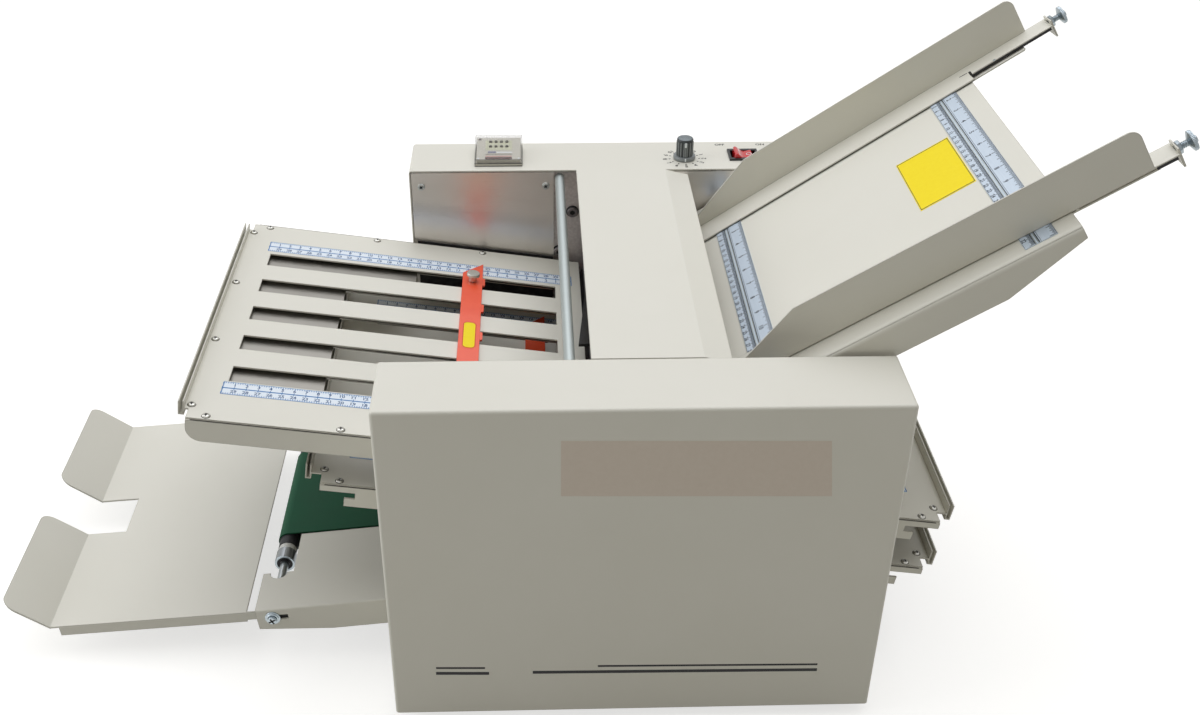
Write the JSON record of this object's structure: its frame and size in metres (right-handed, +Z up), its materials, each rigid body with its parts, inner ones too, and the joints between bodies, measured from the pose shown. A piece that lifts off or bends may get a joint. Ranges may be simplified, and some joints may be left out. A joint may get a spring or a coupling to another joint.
{
  "type": "paper folding machine",
  "caption": "Desk paper folding machine: box side covers, slotted fold plates on both sides, sloping feed table with tall paper guides, belt delivery and a loose out tray.",
  "frame": {"origin": "on the desk, under the middle of the box shaped body", "axes": "+X towards the feed table, +Y towards the side with the controls, +Z up"},
  "size_m": [0.9937, 0.4965, 0.5118],
  "materials": {
    "aluminium": "printed strip",
    "belt_green": "satin belt",
    "black_plastic": "moulded",
    "black_rubber": "matt",
    "board_green": "laminate",
    "clear_plastic": "clear",
    "cream_paint": "fine powder coat",
    "dark_paint": "enamel",
    "grey_plastic": "moulded",
    "orange_paint": "gloss paint",
    "pale_plastic": "moulded",
    "plated_steel": "bright plated",
    "red_plastic": "glossy",
    "roller_steel": "rubber sleeved",
    "steel": "brushed"
  },
  "bodies": {
    "machine": {"base_plate": "cream_paint", "control_board": "board_green", "conveyor_arm_far": "cream_paint", "conveyor_arm_near": "cream_paint", "conveyor_belt": "belt_green", "counter_housing": "pale_plastic", "cover_liners": "steel", "drive_belts": "black_rubber", "far_cover": "cream_paint", "far_side_frame": "dark_paint", "feed_table": "cream_paint", "feet": "black_rubber", "machine_screws": "plated_steel", "mains_inlet": "black_plastic", "motor": "dark_paint", "mouth_finger": "black_plastic", "near_cover": "cream_paint", "near_side_frame": "dark_paint", "roller_bearings": "plated_steel", "switch_housing": "black_plastic", "table_rulers": "aluminium", "tie_bars": "steel"},
    "fold_roller_6": {"fold_roller_6": "roller_steel"},
    "fold_roller_1": {"fold_roller_1": "roller_steel"},
    "fold_roller_2": {"fold_roller_2": "roller_steel"},
    "fold_roller_3": {"fold_roller_3": "roller_steel"},
    "fold_roller_4": {"fold_roller_4": "roller_steel"},
    "fold_roller_5": {"fold_roller_5": "roller_steel"},
    "feed_roller": {"feed_roller": "roller_steel"},
    "conveyor_drive": {"conveyor_drive": "roller_steel"},
    "conveyor_idler": {"conveyor_idler": "roller_steel"},
    "motor_pulley": {"motor_pulley": "aluminium"},
    "fold_plate_1": {"fold_plate_1": "cream_paint", "fold_plate_1_steel": "steel"},
    "stop_1": {"stop_1": "orange_paint"},
    "stop_knob_1": {"stop_knob_1": "plated_steel"},
    "fold_plate_2": {"fold_plate_2": "cream_paint", "fold_plate_2_steel": "steel"},
    "stop_2": {"stop_2": "orange_paint"},
    "stop_knob_2": {"stop_knob_2": "plated_steel"},
    "fold_plate_3": {"fold_plate_3": "cream_paint", "fold_plate_3_steel": "steel"},
    "stop_3": {"stop_3": "orange_paint"},
    "stop_knob_3": {"stop_knob_3": "plated_steel"},
    "fold_plate_4": {"fold_plate_4": "cream_paint", "fold_plate_4_steel": "steel"},
    "stop_4": {"stop_4": "orange_paint"},
    "stop_knob_4": {"stop_knob_4": "plated_steel"},
    "separator_block": {"separator_block": "black_rubber"},
    "near_guide": {"near_guide": "cream_paint"},
    "far_guide": {"far_guide": "cream_paint"},
    "near_thumb_screw": {"near_thumb_screw": "plated_steel"},
    "far_thumb_screw": {"far_thumb_screw": "plated_steel"},
    "counter_lid": {"counter_lid": "clear_plastic"},
    "counter_keys_back": {"counter_keys_back": "pale_plastic"},
    "counter_keys_front": {"counter_keys_front": "pale_plastic"},
    "speed_knob": {"speed_knob": "grey_plastic"},
    "rocker": {"rocker": "red_plastic"},
    "out_tray": {"out_tray": "cream_paint"}
  },
  "joints": [
    {"name": "roller_6_spin", "type": "hinge", "parent": "machine", "child": "fold_roller_6", "pos_m": [-0.03786, 0, 0.09888], "axis": [0, 1, 0], "continuous": true},
    {"name": "roller_1_spin", "type": "hinge", "parent": "machine", "child": "fold_roller_1", "pos_m": [-0.01765, 0, 0.23741], "axis": [0, 1, 0], "continuous": true},
    {"name": "roller_2_spin", "type": "hinge", "parent": "machine", "child": "fold_roller_2", "pos_m": [-0.02169, 0, 0.2097], "axis": [0, 1, 0], "continuous": true},
    {"name": "roller_3_spin", "type": "hinge", "parent": "machine", "child": "fold_roller_3", "pos_m": [-0.02573, 0, 0.18199], "axis": [0, 1, 0], "continuous": true},
    {"name": "roller_4_spin", "type": "hinge", "parent": "machine", "child": "fold_roller_4", "pos_m": [-0.02977, 0, 0.15429], "axis": [0, 1, 0], "continuous": true},
    {"name": "roller_5_spin", "type": "hinge", "parent": "machine", "child": "fold_roller_5", "pos_m": [-0.03381, 0, 0.12658], "axis": [0, 1, 0], "continuous": true},
    {"name": "feed_roller_spin", "type": "hinge", "parent": "machine", "child": "feed_roller", "pos_m": [0.06259, 0, 0.25257], "axis": [0, 1, 0], "continuous": true},
    {"name": "conveyor_drive_spin", "type": "hinge", "parent": "machine", "child": "conveyor_drive", "pos_m": [-0.06746, 0, 0.08029], "axis": [0, 1, 0], "continuous": true},
    {"name": "conveyor_idler_spin", "type": "hinge", "parent": "machine", "child": "conveyor_idler", "pos_m": [-0.32243, 0, 0.05415], "axis": [0, 1, 0], "continuous": true},
    {"name": "motor_spin", "type": "hinge", "parent": "machine", "child": "motor_pulley", "pos_m": [0.062, 0, 0.075], "axis": [0, 1, 0], "continuous": true},
    {"name": "plate_1_pull", "type": "slide", "parent": "machine", "child": "fold_plate_1", "axis": [-0.9895, 0, 0.1444], "range_m": [0, 0.03]},
    {"name": "stop_1_slide", "type": "slide", "parent": "fold_plate_1", "child": "stop_1", "axis": [-0.9895, 0, 0.1444], "range_m": [-0.0723, 0.1935]},
    {"name": "stop_knob_1_turn", "type": "hinge", "parent": "stop_1", "child": "stop_knob_1", "pos_m": [-0.14411, 0.1018, 0.24545], "axis": [0.1444, 0, 0.9895], "range_deg": [-180, 180]},
    {"name": "plate_2_pull", "type": "slide", "parent": "machine", "child": "fold_plate_2", "axis": [0.9895, 0, -0.1444], "range_m": [0, 0.03]},
    {"name": "stop_2_slide", "type": "slide", "parent": "fold_plate_2", "child": "stop_2", "axis": [0.9895, 0, -0.1444], "range_m": [-0.082, 0.1288]},
    {"name": "stop_knob_2_turn", "type": "hinge", "parent": "stop_2", "child": "stop_knob_2", "pos_m": [0.11123, 0.1018, 0.17869], "axis": [0.1444, 0, 0.9895], "range_deg": [-180, 180]},
    {"name": "plate_3_pull", "type": "slide", "parent": "machine", "child": "fold_plate_3", "axis": [-0.9895, 0, 0.1444], "range_m": [0, 0.03]},
    {"name": "stop_3_slide", "type": "slide", "parent": "fold_plate_3", "child": "stop_3", "axis": [-0.9895, 0, 0.1444], "range_m": [-0.0018, 0.1524]},
    {"name": "stop_knob_3_turn", "type": "hinge", "parent": "stop_3", "child": "stop_knob_3", "pos_m": [-0.08207, 0.1018, 0.18233], "axis": [0.1444, 0, 0.9895], "range_deg": [-180, 180]},
    {"name": "plate_4_pull", "type": "slide", "parent": "machine", "child": "fold_plate_4", "axis": [0.9895, 0, -0.1444], "range_m": [0, 0.03]},
    {"name": "stop_4_slide", "type": "slide", "parent": "fold_plate_4", "child": "stop_4", "axis": [0.9895, 0, -0.1444], "range_m": [-0.102, 0.1088]},
    {"name": "stop_knob_4_turn", "type": "hinge", "parent": "stop_4", "child": "stop_knob_4", "pos_m": [0.12338, 0.1018, 0.12346], "axis": [0.1444, 0, 0.9895], "range_deg": [-180, 180]},
    {"name": "separator_lift", "type": "slide", "parent": "machine", "child": "separator_block", "axis": [-0.5314, 0, 0.8471], "range_m": [0, 0.003]},
    {"name": "near_guide_shift", "type": "slide", "parent": "machine", "child": "near_guide", "axis": [0, 1, 0], "range_m": [-0.008, 0.075]},
    {"name": "far_guide_shift", "type": "slide", "parent": "machine", "child": "far_guide", "axis": [0, 1, 0], "range_m": [-0.065, 0.004]},
    {"name": "near_screw_turn", "type": "hinge", "parent": "near_guide", "child": "near_thumb_screw", "pos_m": [0.40744, -0.139, 0.49321], "axis": [0.8471, 0, 0.5314], "range_deg": [-180, 180]},
    {"name": "far_screw_turn", "type": "hinge", "parent": "far_guide", "child": "far_thumb_screw", "pos_m": [0.40713, 0.15206, 0.49301], "axis": [0.8443, 0.0819, 0.5296], "range_deg": [-180, 180]},
    {"name": "counter_lid_hinge", "type": "hinge", "parent": "machine", "child": "counter_lid", "pos_m": [-0.117, 0.232, 0.3363], "axis": [-1, 0, 0], "range_deg": [0, 95]},
    {"name": "counter_keys_back_press", "type": "slide", "parent": "machine", "child": "counter_keys_back", "axis": [0, 0, -1], "range_m": [0, 0.001], "stiffness_N_per_m": 250},
    {"name": "counter_keys_front_press", "type": "slide", "parent": "machine", "child": "counter_keys_front", "axis": [0, 0, -1], "range_m": [0, 0.001], "stiffness_N_per_m": 250},
    {"name": "speed_knob_turn", "type": "hinge", "parent": "machine", "child": "speed_knob", "pos_m": [0.075, 0.204, 0.333], "axis": [0, 0, 1], "range_deg": [-135, 135]},
    {"name": "rocker_tip", "type": "hinge", "parent": "machine", "child": "rocker", "pos_m": [0.137, 0.2095, 0.332], "axis": [0, -1, 0], "range_deg": [0, 24]},
    {"name": "out_tray_lift", "type": "hinge", "parent": "machine", "child": "out_tray", "pos_m": [-0.33224, 0, 0.04532], "axis": [0, 1, 0], "range_deg": [0, 45]}
  ],
  "couplings": [
    {"joint": "roller_1_spin", "follows": "roller_6_spin", "ratio": -1},
    {"joint": "roller_2_spin", "follows": "roller_6_spin", "ratio": 1},
    {"joint": "roller_3_spin", "follows": "roller_6_spin", "ratio": -1},
    {"joint": "roller_4_spin", "follows": "roller_6_spin", "ratio": 1},
    {"joint": "roller_5_spin", "follows": "roller_6_spin", "ratio": -1},
    {"joint": "feed_roller_spin", "follows": "roller_6_spin", "ratio": 1},
    {"joint": "conveyor_drive_spin", "follows": "roller_6_spin", "ratio": 1},
    {"joint": "conveyor_idler_spin", "follows": "roller_6_spin", "ratio": 1},
    {"joint": "motor_spin", "follows": "roller_6_spin", "ratio": 1}
  ]
}
